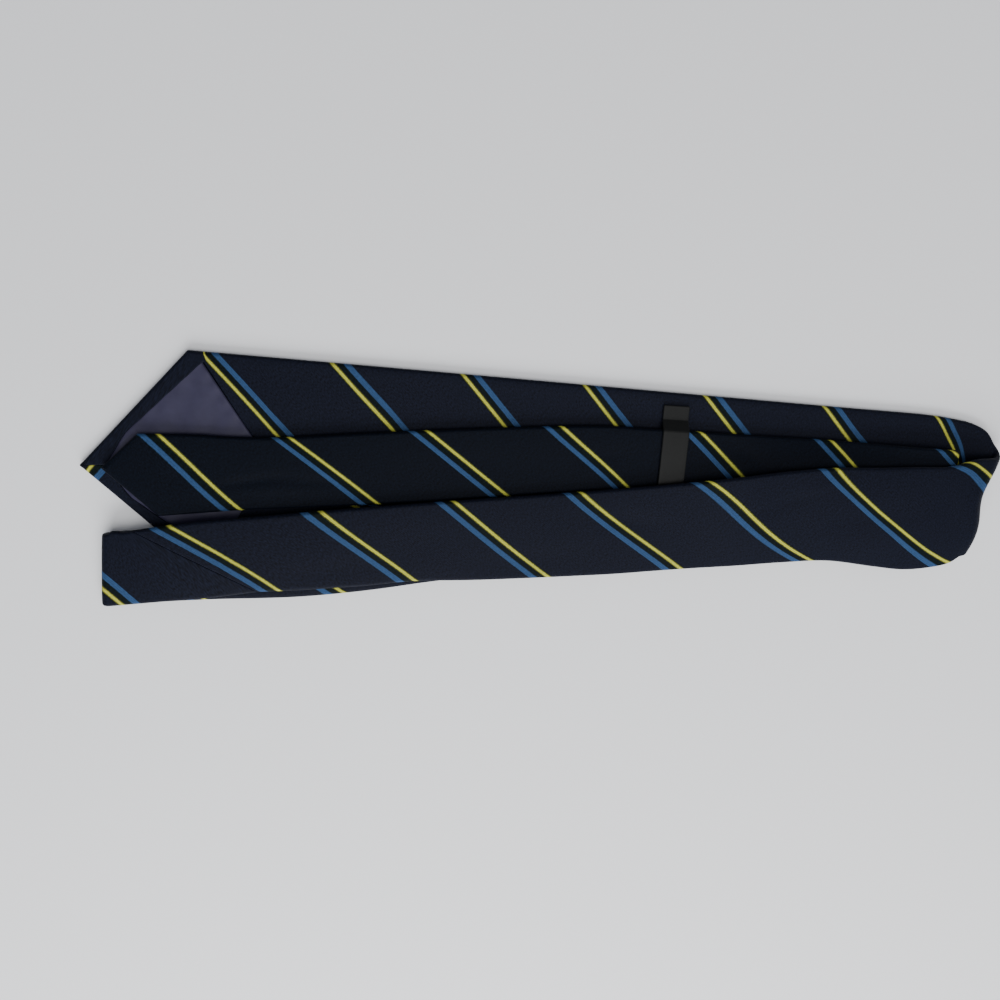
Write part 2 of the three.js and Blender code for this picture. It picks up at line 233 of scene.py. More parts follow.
def finished(bm, name):
    """The modelled shape as an object at the origin, with its place in its mesh."""
    mesh = bpy.data.meshes.new(name)
    bm.to_mesh(mesh)
    bm.free()
    piece = bpy.data.objects.new(name, mesh)
    bpy.context.collection.objects.link(piece)
    return piece


def silk_tube(name, strip, thickness, valley, end_round, phases, dents=()):
    """Wraps the blade's section round its middle surface, as one closed mesh with the stripes' map."""
    points = strip.points
    along = np.gradient(points, axis=0)
    sideways = np.gradient(points, axis=1)
    normals = np.cross(sideways, along)
    normals /= np.linalg.norm(normals, axis=2, keepdims=True) + 1e-12
    count = len(points)
    width = np.linalg.norm(points[:, -1] - points[:, 0], axis=1)
    chord = (points[:, -1] - points[:, 0]) / width[:, None]

    def slant(column):
        direction = along[:, column] / (np.linalg.norm(along[:, column], axis=1, keepdims=True) + 1e-12)
        return np.clip(np.linalg.norm(np.cross(direction, chord), axis=1), 0.35, 1.0)

    slant_up, slant_low = slant(0), slant(-1)
    rows_v, rows_h = [], []
    for i in range(count):
        v_low, v_up, depth, lap = valley(i, width[i])
        v, h = ring(width[i], slant_up[i], slant_low[i], thickness, v_low, v_up, depth, lap)
        rows_v.append(v)
        rows_h.append(h)
    v = np.array(rows_v)
    h = np.array(rows_h)
    from_start = strip.place - strip.place[0]
    from_end = strip.place[-1] - strip.place
    for distance, rounding in ((from_start, end_round[0]), (from_end, end_round[1])):
        if rounding:
            t = np.clip(1 - distance / rounding, 0, 1)
            h = h * (END_THINNED + (1 - END_THINNED) * np.sqrt(1 - t * t))[:, None]
    place = v * (len(SHARES) - 1)
    left = np.clip(place.astype(int), 0, len(SHARES) - 2)
    share = np.clip(place - left, 0, 1)[:, :, None]
    index = np.arange(count)[:, None]
    base = points[index, left] * (1 - share) + points[index, left + 1] * share
    normal = normals[index, left] * (1 - share) + normals[index, left + 1] * share
    normal /= np.linalg.norm(normal, axis=2, keepdims=True)
    spots = base + normal * h[:, :, None]
    for dent in dents:
        spots = dent(spots, base, normal, h, strip)
    columns = spots.shape[1]
    spots[:, :, 2] = np.maximum(spots[:, :, 2], 0.0)
    spots[:, -1] = spots[:, 0]
    arc = np.concatenate([np.zeros((count, 1)),
                          np.cumsum(np.linalg.norm(np.diff(spots, axis=1), axis=2), axis=1)], axis=1)
    front_length = arc[:, FRONT_END]
    phase_a, phase_b = phases(strip, v, arc, front_length, base)
    lean = math.radians(RIB_LEAN)
    rib = [strip.place[:, None] * math.cos(lean) - unrolled * math.sin(lean)
           for unrolled in (arc, arc - arc[:, -1:])]
    maps = [np.stack([phase, line / STRIPE_PITCH], axis=2)
            for phase, line in zip((phase_a, phase_b), rib)]

    bm = bmesh.new()
    bmesh.ops.create_grid(bm, x_segments=count - 1, y_segments=columns - 1, size=1)
    bm.verts.ensure_lookup_table()
    flat = (spots - CORNER).transpose(1, 0, 2).reshape(-1, 3) * MM
    for vertex, spot in zip(bm.verts, flat):
        vertex.co = spot
    layer = bm.loops.layers.uv.new("silk")
    for face in bm.faces:
        numbers = [loop.vert.index for loop in face.loops]
        chosen = maps[0] if min(numbers) // count < SPLIT else maps[1]
        for loop, number in zip(face.loops, numbers):
            loop[layer].uv = chosen[number % count, number // count]
        face.smooth = True
    bmesh.ops.remove_doubles(bm, verts=bm.verts, dist=1e-6)
    ends = [edge for edge in bm.edges if edge.is_boundary]
    bmesh.ops.holes_fill(bm, edges=ends, sides=0)
    bmesh.ops.recalc_face_normals(bm, faces=bm.faces)
    return finished(bm, name)


LINE_SHARES = [0.05, 0.25, 0.5, 0.75, 0.95]


def line_phases(lines, numbers, point_from=None, slope=1.19):
    """Stripes laid out from the lengths at which each one crosses five shares of the front's width.
    Past the length point_from the blade tapers, and they run on as if its width stayed the same."""
    curves = np.polyfit(LINE_SHARES, np.asarray(lines, float).T, 3)
    order = np.argsort(np.polyval(curves, 0.5))
    curves, numbers = curves[:, order], np.asarray(numbers, float)[order]
    ups, lows = curves[-1], curves.sum(axis=0)

    def phases(strip, v, arc, front_length, base):
        front = np.zeros_like(v)
        share = np.clip(arc / front_length[:, None], 0, 1)
        at = strip.s_up[:, None] * (1 - share) + strip.s_low[:, None] * share
        if point_from is not None:
            past = strip.place > point_from
            row = int(np.argmax(past)) - 1
            up, low = strip.points[row, 0], strip.points[row, -1]
            share[past] = np.clip((up[1] - base[past, :, 1]) / (up[1] - low[1]), 0, 1)
            at[past] = (strip.s_up[row] * (1 - share[past]) + strip.s_low[row] * share[past]
                        + up[0] + (low[0] - up[0]) * share[past] - base[past, :, 0])
        for i, j in np.ndindex(*v.shape):
            if arc[i, j] <= front_length[i] + 1e-6:
                front[i, j] = np.interp(at[i, j], np.polyval(curves, share[i, j]), numbers)
        s_low, s_up = strip.s_low[:, None], strip.s_up[:, None]
        low_side = (np.interp(s_low + slope * (arc - front_length[:, None]), lows, numbers)
                    - np.interp(s_low, lows, numbers) + front[:, FRONT_END][:, None])
        up_side = (np.interp(s_up - slope * (arc[:, -1:] - arc), ups, numbers)
                   - np.interp(s_up, ups, numbers) + front[:, 0][:, None])
        first = np.where(arc <= front_length[:, None], front, low_side)
        return first, up_side

    return phases


def level(rows, z):
    """Rows of a leg that lies flat, from the places of its two edges and its height."""
    return [row + [z, z, z] for row in rows]


# rows across the blade: x and y of its upper edge, x and y of its lower edge, and the heights of its
# middle surface at the upper edge, halfway across and at the lower edge
WIDE_POINT = level([
    [0, 55, 0, 54.2],
    [1.3, 56, 1.2, 53.2],
    [41.5, 95.2, 39.5, 13.6],
], BLADE_Z)
BLADE_UNDER = level([
    [41.5, 95.2, 39.5, 13.6],
    [140, 84.9, 137, 15.4],
    [240, 74.3, 236, 17.3],
    [300, 68, 296, 18.4],
    [333.5, 64.5, 329, 18.6],
    [346, 62.5, 340, 16],
    [355.4, 60.2, 346, 13],
    [362.4, 56.4, 349.8, 10.4],
    [366.2, 50.8, 352.2, 7.6],
], BLADE_Z)
BLADE_OVER = [
    [361.6, 46.2, 350.6, 4.6, 6.5, 9.2, 6.2],
    [353, 46.2, 345.5, 1.6, 8.2, 9.4, 6.3],
    [340, 43.9, 335, 0, 9.8, 9.6, 6.4],
    [326, 44.2, 324, 0, 9.8, 9.7, 6.7],
    [311, 44.4, 311, 2, 9.8, 9.75, 6.9],
    [290, 45.1, 290, 5.6, 10.1, 9.7, 7],
    [270, 44.4, 270, 5.8, 10.4, 9.3, 6.9],
    [250, 42.8, 250, 5.3, 10.8, 9.2, 6.7],
    [232, 41.3, 232, 5.1, 9.5, 8.2, 6.5],
    [216, 40.3, 216, 4.8, 8.5, 7.7, 6.55],
    [200, 39.4, 200, 4.4, 7.5, 7.25, 6.6],
    [185, 38.7, 185, 4.4, 7.1, 7.1, 6.65],
    [145, 37.4, 145, 4.8, 7.05, 7.1, 6.65],
    [115, 36.4, 118, 5.7, 7.15, 7.2, 6.7],
    [90, 35.4, 103, 4.9, 7.15, 7.2, 6.7],
    [64, 34.1, 89, 4.6, 7.15, 7.2, 6.7],
    [40, 33, 75, 4.4, 7.15, 7.2, 6.7],
    [17.5, 30.6, 60.9, 4.6, 6.6, 7.15, 6.6],
]
PINCH_DEPTH, PINCH_ACROSS, PINCH_SPREAD, PINCH_FROM, PINCH_TO = 5.2, 0.38, 0.28, 332, 356

wide_legs = [straight_leg(WIDE_POINT), leg(BLADE_UNDER)[1:]]
over_leg = leg(BLADE_OVER)
wide_legs += [fold(wide_legs[-1][-1], over_leg[0], 1), over_leg]
for part in wide_legs:
    drawn = np.exp(-(((SHARES - PINCH_ACROSS) / PINCH_SPREAD) ** 2))[None, :]
    part[:, :, 0] -= PINCH_DEPTH * soft_step(part[:, :, 0], PINCH_FROM, PINCH_TO) * drawn
wide_strip = Strip(wide_legs, even_spacing, eased=(1, 2))

# corners of the opening in the back: apex of the hem's mitre, the two shoulders and the flaps' meeting
LINING_KITE = [(9.19, 54.6), (46.0, 91.5), (67.0, 54.2), (46.2, 17.2)]
# places near the apex where the hem's upper and lower inner edges bend
UPPER_BEND, LOWER_BEND = (17.0, 66.3), (16.4, 42.4)
SEAM_HALF = 0.25
SEAM_HALF_MOST = 0.12
SEAM_SINK = 0.3
SEAM_LAP = 0.12
KITE_DEPTH = 0.85
# widths of the opening between which it deepens, and the hem's own sink and where the lap begins
KITE_DEEPENS = (0.3, 3.0)
HEM_SINK, HEM_SINK_TO, LAP_FROM = 0.18, 20, 40


def wide_valley(i, width):
    """Edges of the opening or seam in the blade's back, at a station."""
    up, low = wide_strip.points[i, 0], wide_strip.points[i, -1]
    x = (up[0] + low[0]) / 2
    drop = up[1] - low[1]
    if wide_strip.place[i] > wide_strip.joints[1] or x > LINING_KITE[2][0]:
        return 0.5 + SEAM_HALF / width, 0.5 - SEAM_HALF / width, SEAM_SINK, SEAM_LAP
    apex, shoulder, meeting, low_shoulder = LINING_KITE
    top = np.interp(x, *zip(apex, UPPER_BEND, shoulder, meeting))
    bottom = np.interp(x, *zip(apex, LOWER_BEND, low_shoulder, meeting))
    half = min(SEAM_HALF, SEAM_HALF_MOST * width)
    v_up = min((up[1] - top) / drop, 0.5 - half / width)
    v_low = max((up[1] - bottom) / drop, 0.5 + half / width)
    opened = soft_step(top - bottom, *KITE_DEEPENS)
    sink = HEM_SINK if x < HEM_SINK_TO else SEAM_SINK
    lap = 0.0 if x < LAP_FROM else SEAM_LAP * (1 - opened)
    return v_low, v_up, sink + (KITE_DEPTH - sink) * opened, lap


# stripes of the front, by number: where each yellow line crosses five shares of the width
FRONT_STRIPES = [
    (1, [-18.0, -10.5, -0.5, 8.5, 16.0]),
    (2, [32.6, 40.4, 51.4, 59.9, 67.2]),
    (3, [87.0, 93.7, 102.9, 112.0, 119.3]),
    (4, [136.8, 143.9, 153.4, 163.0, 171.6]),
    (5, [186.5, 194.2, 205.3, 216.9, 226.2]),
    (6, [238.4, 247.1, 257.5, 268.3, 281.2]),
    (7, [290.2, 299.0, 313.7, 331.0, 344.3]),
    (8, [350.4, 360.0, 370.3, 380.6, 389.5]),
    (9, [399.0, 409.0, 420.0, 430.0, 437.0]),
    (10, [448.0, 458.0, 469.0, 479.0, 486.0]),
]
# lean of the stripes on the blade's lower layer, along its length
UNDER_LEAN_PLACES = [45.0, 100.0, 300.0, 345.0]
UNDER_LEAN = [37.0, 42.5, 42.5, 33.0]
# stripes of the back, by number: where each yellow line crosses the height BACK_LINE
BACK_STRIPES = [(9, 335.25), (10, 289.85), (11, 243.75), (12, 198.75), (13, 155.35), (14, 112.35),
                (15, 68.95)]
BACK_LINE = 66.0
OVER_LEG = 3
UPPER_HEM_SHIFT = 0.45
# the lower flap and the lower hem are shifted on their own, the hem more towards its shoulder
LOWER_FLAP_SHIFT = 0.33
LOWER_HEM_PLACES, LOWER_HEM_SHIFTS = [4.0, 33.0], [0.25, 0.37]
HEM_BACK_EDGE = (41.0, 47.0)
EDGE_TURN_MOST = 11.0
# share of the width over which the two hems' shifts blend on the under face
MIDDLE_SHARES = (0.35, 0.65)


def laid_out(strip, number, stripes):
    """Places of the stripes as lengths along the strip, one row of five for each stripe."""
    xs = np.array([row[1] for row in stripes])
    return np.column_stack([strip.on_leg(number, xs[:, c], share) for c, share in enumerate(LINE_SHARES)])


def mirrored_over(edge_points, tangents, points):
    """Points of a turned-in flap, laid back flat beyond the edge that they are folded over."""
    offset = points[:, :, :2] - edge_points[:, None, :2]
    t = tangents[:, None, :]
    n = np.stack([-t[:, :, 1], t[:, :, 0]], axis=2)
    a = (offset * t).sum(axis=2, keepdims=True)
    b = (offset * n).sum(axis=2, keepdims=True)
    return edge_points[:, None, :2] + a * t - b * n


def wide_phases(strip, v, arc, front_length, base):
    over = line_phases(laid_out(strip, OVER_LEG, FRONT_STRIPES), [row[0] for row in FRONT_STRIPES])(
        strip, v, arc, front_length, base)

    under_end = strip.joints[1]
    unfolded = base.copy()
    past = strip.place > under_end
    first_past = int(np.argmax(past)) - 1
    unfolded[past, :, 0] = unfolded[first_past, :, 0] + (strip.place[past] - under_end)[:, None]
    unfolded[past, :, 1] = unfolded[first_past, :, 1]
    lean = np.radians(np.interp(unfolded[:, base.shape[1] // 4, 0], UNDER_LEAN_PLACES, UNDER_LEAN))
    gradient = np.stack([-np.sin(lean), np.cos(lean)], axis=1) / STRIPE_PITCH
    first_gradient = np.array([-math.sin(lean[0]), math.cos(lean[0])]) / STRIPE_PITCH

    def law(points, rows):
        """Number of the even stripes at points of the flat cloth, each row with its own lean."""
        centre = np.stack([unfolded[rows, base.shape[1] // 4, 0], np.full(len(points), BACK_LINE)], axis=1)
        turned = ((points - centre[:, None, :]) * gradient[rows][:, None, :]).sum(axis=2)
        return turned + (centre @ first_gradient)[:, None]

    def tangents(column):
        edge = strip.points[:, column, :2]
        step = np.gradient(edge, axis=0)
        angle = np.arctan2(step[:, 1], step[:, 0])
        if column == 0:
            angle = np.maximum(angle, -math.radians(EDGE_TURN_MOST))
        return np.stack([np.cos(angle), np.sin(angle)], axis=1)

    up_edge, low_edge = strip.points[:, 0], strip.points[:, -1]
    every = np.arange(len(unfolded))
    flat = law(unfolded[:, :, :2], every)
    up_flap = law(mirrored_over(up_edge, tangents(0), unfolded), every)
    low_flap = law(mirrored_over(low_edge, tangents(-1), unfolded), every)
    # the even law is shifted a little along the blade to pass through each stripe of the back
    middle = unfolded[:, base.shape[1] // 4, 0]
    shifts, places = [], []
    for number, x in BACK_STRIPES:
        i = int(np.argmin(np.abs(strip.points[:, 0, 0] - x) + 1e3 * past))
        spot = np.array([[[x, BACK_LINE, 0.0]]])
        value = law(mirrored_over(up_edge[i:i + 1], tangents(0)[i:i + 1], spot), np.array([i]))[0, 0]
        shifts.append(number - value)
        places.append(x)
    shift = np.interp(middle, places[::-1], shifts[::-1])[:, None]
    hem = (1 - soft_step(middle, *HEM_BACK_EDGE))[:, None]
    half = soft_step(v, *MIDDLE_SHARES)
    upper = hem * UPPER_HEM_SHIFT
    lower = hem * np.interp(middle, LOWER_HEM_PLACES, LOWER_HEM_SHIFTS)[:, None]
    lower += (1 - hem) * LOWER_FLAP_SHIFT
    flat = flat + shift + upper * (1 - half) + lower * half
    up_flap = up_flap + shift + upper
    low_flap = low_flap + shift + lower
    under_a = np.where(arc <= front_length[:, None], flat, low_flap)
    turned = soft_step(strip.place, under_end - 4, strip.joints[2] - 3)[:, None]
    return (under_a * (1 - turned) + over[0] * turned, up_flap * (1 - turned) + over[1] * turned)


def blade_dents(hollows, leg_range, side):
    """Soft hollows and ridges pressed into one face: place, size along and across, turn, depth."""
    def press(spots, base, normal, h, strip):
        begin, end = leg_range(strip)
        inside = ((strip.place > begin) & (strip.place < end)).astype(float)[:, None]
        facing = soft_step(h * side, 0.3, 1.1)
        for x, y, along, aside, turn, depth in hollows:
            c, s = math.cos(math.radians(turn)), math.sin(math.radians(turn))
            dx, dy = base[:, :, 0] - x, base[:, :, 1] - y
            a, b = (dx * c + dy * s) / along, (-dx * s + dy * c) / aside
            push = depth * np.exp(-(a * a + b * b)) * inside * facing
            spots = spots - normal * (push * side)[:, :, None]
        return spots
    return press


def over_part(strip):
    return strip.joints[-2] + 2, strip.joints[-1]


FRONT_HOLLOWS = [
    (272, 33, 9, 2.2, 12, 0.35), (283, 37, 8, 2.0, 20, -0.2), (262, 29, 10, 2.4, 8, 0.25),
    (47, 18, 1.2, 9, 5, 0.18), (52, 18, 1.5, 10, 5, -0.1), (120, 20, 24, 8, 0, 0.2),
    (165, 12, 20, 5, 3, 0.25), (205, 26, 14, 4, -10, 0.3), (304, 24, 14, 5, 12, 0.45),
    (316, 15, 16, 4, 28, -0.3), (340, 26, 6, 10, 15, 0.3), (90, 12, 18, 4, 4, 0.18),
]
wide_blade = silk_tube("wide_blade_silk", wide_strip, BLADE_THICKNESS, wide_valley, (0, 0.5), wide_phases,
                       [blade_dents(FRONT_HOLLOWS, over_part, -1)])


def socket_group(name, inputs, outputs):
    group = bpy.data.node_groups.new(name, "ShaderNodeTree")
    for label, kind, default in inputs:
        socket = group.interface.new_socket(label, in_out="INPUT", socket_type=kind)
        socket.default_value = default
    for label, kind in outputs:
        group.interface.new_socket(label, in_out="OUTPUT", socket_type=kind)
    return group


def math_node(tree, operation, a, b=None, clamp=False):
    node = tree.nodes.new("ShaderNodeMath")
    node.operation = operation
    node.use_clamp = clamp
    for socket, value in zip(node.inputs, (a, b)):
        if value is None:
            continue
        if isinstance(value, (int, float)):
            socket.default_value = value
        else:
            tree.links.new(value, socket)
    return node.outputs[0]


def mix_colour(tree, kind, factor, a, b):
    node = tree.nodes.new("ShaderNodeMix")
    node.data_type = "RGBA"
    node.blend_type = kind
    for socket, value in ((node.inputs[0], factor), (node.inputs[6], a), (node.inputs[7], b)):
        if isinstance(value, (int, float, tuple)):
            socket.default_value = value
        else:
            tree.links.new(value, socket)
    return node.outputs[2]


def linear(red, green, blue):
    """Colour from the 0 to 255 values of a paint chart to the linear values of a shader."""
    def channel(value):
        value /= 255
        return value / 12.92 if value <= 0.04045 else ((value + 0.055) / 1.055) ** 2.4
    return (channel(red), channel(green), channel(blue), 1.0)


def shaded(tree, colour, shade):
    """Colour made lighter and darker by a number, as threads and uneven dye do."""
    grey = tree.nodes.new("ShaderNodeCombineColor")
    for socket in grey.inputs:
        tree.links.new(shade, socket)
    return mix_colour(tree, "MULTIPLY", 1.0, colour, grey.outputs[0])


NAVY = linear(13, 16, 28)
BOTTLE = linear(5, 14, 15)
YELLOW = linear(165, 165, 63)
BLUE = linear(40, 65, 99)
BLUE_OFFSET = 3.6
RIM_WIDTH = 0.28
EDGE_SOFT = 0.24
BETWEEN_HALF = 2.9
STRIPE_WANDER = 0.010
RIM_SHARE = 0.2
RIB_PITCH, RIB_HEIGHT = 0.62, 0.3
THREAD_PITCH, THREAD_HEIGHT = 0.45, 0.2
# how strongly threads, slubs and flecks shade the dye, the flecks less on the yellow and blue lines
WEAVE_SHADE, SLUB_SHADE, SLUB_ROUGH = 0.34, 0.5, 0.16
FLECK_ON_GROUND, FLECK_ON_LINES = 4.6, 1.2
SHADE_MIDDLE, SHADE_LEAST = 0.75, 0.2


def build_stripe_group():
    """Colour, gloss and height of the striped twill, from the stripes' map."""
    group = socket_group(
        "striped twill",
        [("Ground", "NodeSocketColor", NAVY), ("Between", "NodeSocketColor", BOTTLE),
         ("Blue half", "NodeSocketFloat", 1.0), ("Yellow half", "NodeSocketFloat", 0.6),
         ("Roughness", "NodeSocketFloat", 0.5)],
        [("Color", "NodeSocketColor"), ("Roughness", "NodeSocketFloat"), ("Height", "NodeSocketFloat")])
    nodes, links = group.nodes, group.links
    inputs = nodes.new("NodeGroupInput")
    outputs = nodes.new("NodeGroupOutput")
    cloth = nodes.new("ShaderNodeUVMap")
    cloth.uv_map = "silk"
    split = nodes.new("ShaderNodeSeparateXYZ")
    links.new(cloth.outputs[0], split.inputs[0])
    across_rib = math_node(group, "MULTIPLY", split.outputs[0], STRIPE_PITCH)
    along_rib = math_node(group, "MULTIPLY", split.outputs[1], STRIPE_PITCH)

    def noise(scale, detail, stretch=(1.0, 1.0, 1.0)):
        texture = nodes.new("ShaderNodeTexNoise")
        texture.inputs["Scale"].default_value = scale
        texture.inputs["Detail"].default_value = detail
        texture.inputs["Roughness"].default_value = 0.65
        mapping = nodes.new("ShaderNodeMapping")
        mapping.inputs["Scale"].default_value = stretch
        links.new(cloth.outputs[0], mapping.inputs[0])
        links.new(mapping.outputs[0], texture.inputs["Vector"])
        return texture.outputs[0]

    def band(centre, half):
        """Mask of a line of the stripe pattern, with its middle and half width in millimetres."""
        away = math_node(group, "ABSOLUTE", math_node(group, "SUBTRACT", turn_mm, centre))
        inside = math_node(group, "DIVIDE", math_node(group, "SUBTRACT", half, away), EDGE_SOFT)
        return math_node(group, "ADD", inside, 0.5, clamp=True)

    wander = math_node(group, "MULTIPLY", math_node(group, "SUBTRACT", noise(90.0, 2.0), 0.5),
                       STRIPE_WANDER)
    phase = math_node(group, "ADD", split.outputs[0], wander)
    turn = math_node(group, "FRACT", math_node(group, "ADD", phase, 0.5))
    turn_mm = math_node(group, "MULTIPLY", turn, STRIPE_PITCH)
    middle = STRIPE_PITCH / 2
    blue = band(middle - BLUE_OFFSET, inputs.outputs["Blue half"])
    yellow = band(middle, inputs.outputs["Yellow half"])
    rim = band(middle, math_node(group, "ADD", inputs.outputs["Yellow half"], RIM_WIDTH))
    yellow = math_node(group, "MAXIMUM", yellow, math_node(group, "MULTIPLY", rim, RIM_SHARE))
    between = band(middle - BLUE_OFFSET / 2, BETWEEN_HALF)

    rib = math_node(group, "SINE", math_node(group, "MULTIPLY", across_rib, 2 * math.pi / RIB_PITCH))
    thread_shift = math_node(group, "MULTIPLY", across_rib, math.pi / RIB_PITCH)
    thread = math_node(group, "SINE", math_node(
        group, "ADD", math_node(group, "MULTIPLY", along_rib, 2 * math.pi / THREAD_PITCH), thread_shift))
    weave = math_node(group, "ADD", math_node(group, "MULTIPLY", rib, RIB_HEIGHT),
                      math_node(group, "MULTIPLY", thread, THREAD_HEIGHT))
    height = math_node(group, "ADD", weave, 0.5)

    slub = noise(14.0, 5.0, (4.0, 0.5, 1.0))
    fleck = noise(46.0, 4.0, (1.6, 0.8, 1.0))
    base = mix_colour(group, "MIX", between, inputs.outputs["Ground"], inputs.outputs["Between"])
    base = mix_colour(group, "MIX", blue, base, BLUE)
    base = mix_colour(group, "MIX", yellow, base, YELLOW)
    lines = math_node(group, "MAXIMUM", blue, yellow)
    strength = math_node(group, "SUBTRACT", FLECK_ON_GROUND,
                         math_node(group, "MULTIPLY", lines, FLECK_ON_GROUND - FLECK_ON_LINES))
    flecked = math_node(group, "MULTIPLY", math_node(group, "SUBTRACT", fleck, 0.5), strength)
    uneven = math_node(group, "ADD", math_node(group, "MULTIPLY", slub, SLUB_SHADE), flecked)
    shade = math_node(group, "ADD", math_node(group, "MULTIPLY", weave, WEAVE_SHADE),
                      math_node(group, "ADD", uneven, SHADE_MIDDLE))
    shade = math_node(group, "MAXIMUM", shade, SHADE_LEAST)
    rough = math_node(group, "ADD", inputs.outputs["Roughness"],
                      math_node(group, "MULTIPLY", math_node(group, "SUBTRACT", slub, 0.5), SLUB_ROUGH))
    links.new(shaded(group, base, shade), outputs.inputs["Color"])
    links.new(rough, outputs.inputs["Roughness"])
    links.new(height, outputs.inputs["Height"])
    return group


stripe_group = build_stripe_group()


def cloth_material(name, specular, sheen):
    material = bpy.data.materials.new(name)
    material.use_nodes = True
    shader = material.node_tree.nodes["Principled BSDF"]
    shader.inputs["Specular IOR Level"].default_value = specular
    shader.inputs["Sheen Weight"].default_value = sheen
    return material, material.node_tree, shader


def thread_relief(tree, shader, height, strength, depth):
    """Bump of the threads, with the full depth in metres."""
    bump = tree.nodes.new("ShaderNodeBump")
    bump.inputs["Strength"].default_value = strength
    bump.inputs["Distance"].default_value = depth
    tree.links.new(height, bump.inputs["Height"])
    tree.links.new(bump.outputs["Normal"], shader.inputs["Normal"])


def silk_material(name, ground, halves, roughness, specular):
    """Striped silk twill: the group's colour and weave on a shader with a soft cloth sheen."""
    material, tree, shader = cloth_material(name, specular, 0.012)
    shader.inputs["Sheen Roughness"].default_value = 0.45
    shader.inputs["Sheen Tint"].default_value = (0.75, 0.8, 1.0, 1.0)
    cloth = tree.nodes.new("ShaderNodeGroup")
    cloth.node_tree = stripe_group
    cloth.inputs["Ground"].default_value = ground
    cloth.inputs["Between"].default_value = BOTTLE
    cloth.inputs["Blue half"].default_value, cloth.inputs["Yellow half"].default_value = halves
    cloth.inputs["Roughness"].default_value = roughness
    tree.links.new(cloth.outputs["Color"], shader.inputs["Base Color"])
    tree.links.new(cloth.outputs["Roughness"], shader.inputs["Roughness"])
    thread_relief(tree, shader, cloth.outputs["Height"], 0.35, 0.00008)
    return material


wide_silk = silk_material("navy_silk_wide", NAVY, (0.92, 0.49), 0.58, 0.065)
wide_blade.data.materials.append(wide_silk)
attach(wide_blade, "root")
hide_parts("wide_blade")

# Lining of the wide point: a kite of thin plain silk, let in below the folded edges of the hem and the
# flaps, and caught down by hand along all four sides, so that it puckers a little.
LINING_TOP = BLADE_THICKNESS - 0.12
LINING_THICKNESS = 0.4
LINING_SLACK = 0.10
LINING_CELLS = 56
PUCKER_HEIGHT, PUCKER_FADE = 0.07, 16
HELD_EDGE = 12
LINING_DYE = linear(45, 43, 64)
LINING_THREADS = (0.34, 0.3)


def bent_out(start, end, bend, share):
    """How far the panel's edge stands off the straight line, as the hem's inner edge does at its bend."""
    line = end - start
    at = (Vector((bend[0], bend[1], 0)) - start).dot(line) / line.length_squared
    rise = Vector((bend[0], bend[1], 0)) - start - line * at
    return rise * min(share / at, (1 - share) / (1 - at))


def lining_panel():
    bm = bmesh.new()
    bmesh.ops.create_grid(bm, x_segments=LINING_CELLS, y_segments=LINING_CELLS, size=1)
    apex, top, back, bottom = (Vector((x, y, 0)) for x, y in LINING_KITE)
    layer = bm.loops.layers.uv.new("lining")
    for vertex in bm.verts:
        a, b = (vertex.co.x + 1) / 2, (vertex.co.y + 1) / 2
        spot = (apex * (1 - a) + bottom * a) * (1 - b) + (top * (1 - a) + back * a) * b
        spot += bent_out(apex, top, UPPER_BEND, b) * (1 - a)
        spot += bent_out(apex, bottom, LOWER_BEND, a) * (1 - b)
        pucker = math.sin(46 * a + 3 * math.sin(5 * b)) * math.exp(-min(b, 1 - b) * PUCKER_FADE)
        pucker += math.sin(41 * b + 2 * math.sin(6 * a)) * math.exp(-min(a, 1 - a) * PUCKER_FADE)
        ripple = 0.07 * math.sin(0.21 * spot.x + 0.33 * spot.y)
        ripple += 0.05 * math.sin(0.5 * spot.x - 0.19 * spot.y)
        free = min(min(a, 1 - a, b, 1 - b) * HELD_EDGE, 1)
        z = LINING_TOP - LINING_THICKNESS - LINING_SLACK + PUCKER_HEIGHT * pucker + ripple * free
        vertex.co = Vector((spot.x, spot.y, z))
    for face in bm.faces:
        face.smooth = True
        for loop in face.loops:
            loop[layer].uv = (loop.vert.co.x / STRIPE_PITCH, loop.vert.co.y / STRIPE_PITCH)
    bmesh.ops.recalc_face_normals(bm, faces=bm.faces)
    if sum(face.normal.z for face in bm.faces) < 0:
        bmesh.ops.reverse_faces(bm, faces=bm.faces)
    wall = bmesh.ops.extrude_face_region(bm, geom=bm.faces)
    raised = [item for item in wall["geom"] if isinstance(item, bmesh.types.BMVert)]
    bmesh.ops.translate(bm, verts=raised, vec=(0, 0, LINING_THICKNESS))
    bmesh.ops.recalc_face_normals(bm, faces=bm.faces)
    bmesh.ops.translate(bm, verts=bm.verts, vec=-Vector(CORNER))
    bmesh.ops.scale(bm, verts=bm.verts, vec=(MM, MM, MM))
    return finished(bm, "wide_tipping_lining")


lining = lining_panel()


def plain_weave(tree, map_name, pitches, heights, noise_scale, noise_detail):
    """Height of the two sets of threads of a plain cloth, and a noise for its dye and gloss."""
    cloth = tree.nodes.new("ShaderNodeUVMap")
    cloth.uv_map = map_name
    split = tree.nodes.new("ShaderNodeSeparateXYZ")
    tree.links.new(cloth.outputs[0], split.inputs[0])
    threads = []
    for i in range(2):
        turns = math_node(tree, "MULTIPLY", split.outputs[i], 2 * math.pi * STRIPE_PITCH / pitches[i])
        threads.append(math_node(tree, "MULTIPLY", math_node(tree, "SINE", turns), heights[i]))
    noise = tree.nodes.new("ShaderNodeTexNoise")
    noise.inputs["Scale"].default_value = noise_scale
    noise.inputs["Detail"].default_value = noise_detail
    tree.links.new(cloth.outputs[0], noise.inputs["Vector"])
    return math_node(tree, "ADD", *threads), noise.outputs[0]


